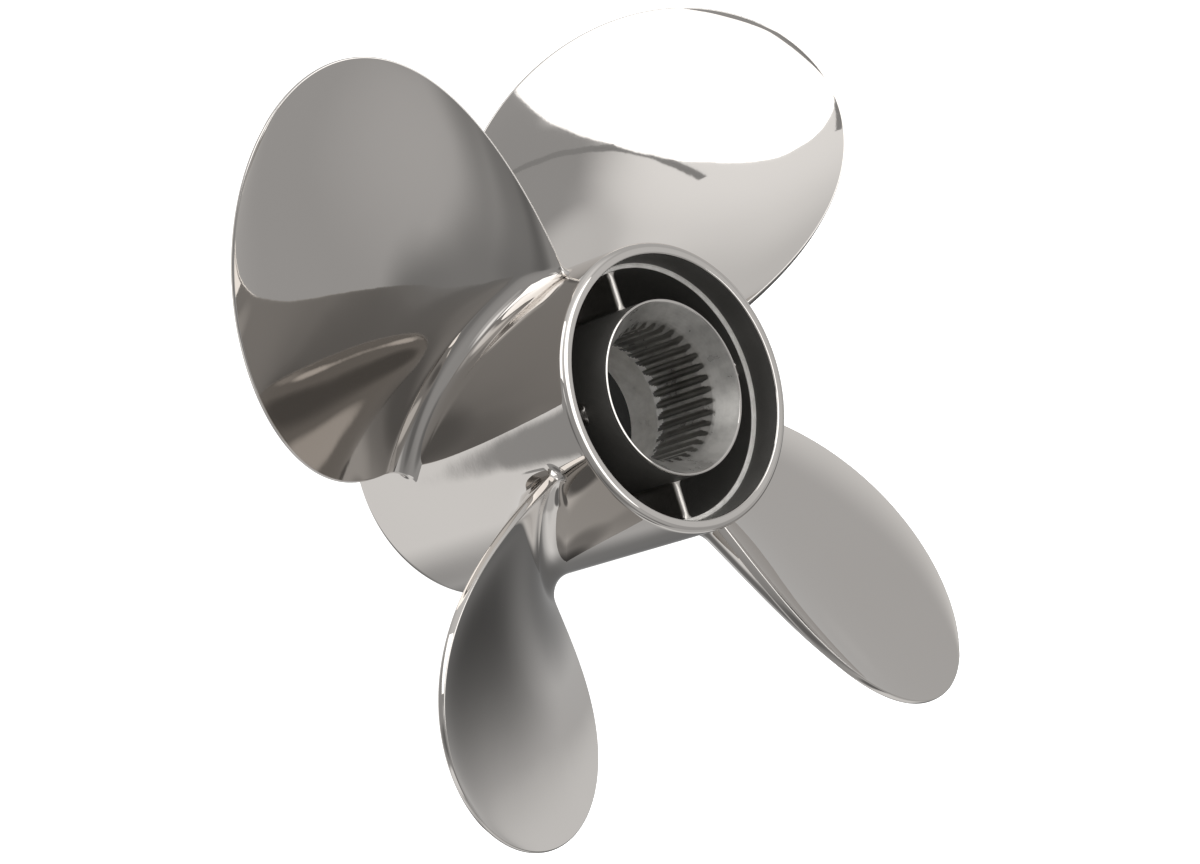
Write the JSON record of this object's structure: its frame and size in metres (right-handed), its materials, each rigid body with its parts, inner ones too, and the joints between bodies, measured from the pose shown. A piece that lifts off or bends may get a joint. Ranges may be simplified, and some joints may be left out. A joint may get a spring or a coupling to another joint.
{
  "type": "boat propeller",
  "caption": "Left-hand boat propeller in polished stainless steel, with broad raked blades, exhaust passages through its hub and a large splined bore.",
  "frame": {"origin": "centre of the hub's forward face, on the shaft axis", "axes": "+Z aft along the shaft axis; +X along the line from which blade_1 is laid out, at its trailing root"},
  "size_m": [0.3786, 0.3786, 0.1425],
  "materials": {
    "polished_steel": "mirror-polished stainless steel, faint hand-polishing marks",
    "machined_steel": "turned lead-in cone, dull broached spline"
  },
  "bodies": {
    "root": {"hub_barrel": "polished_steel", "splined_hub": "machined_steel", "rib_1": "polished_steel", "rib_2": "polished_steel", "rib_3": "polished_steel", "rib_4": "polished_steel", "blade_1": "polished_steel", "blade_2": "polished_steel", "blade_3": "polished_steel", "blade_4": "polished_steel"}
  },
  "joints": []
}
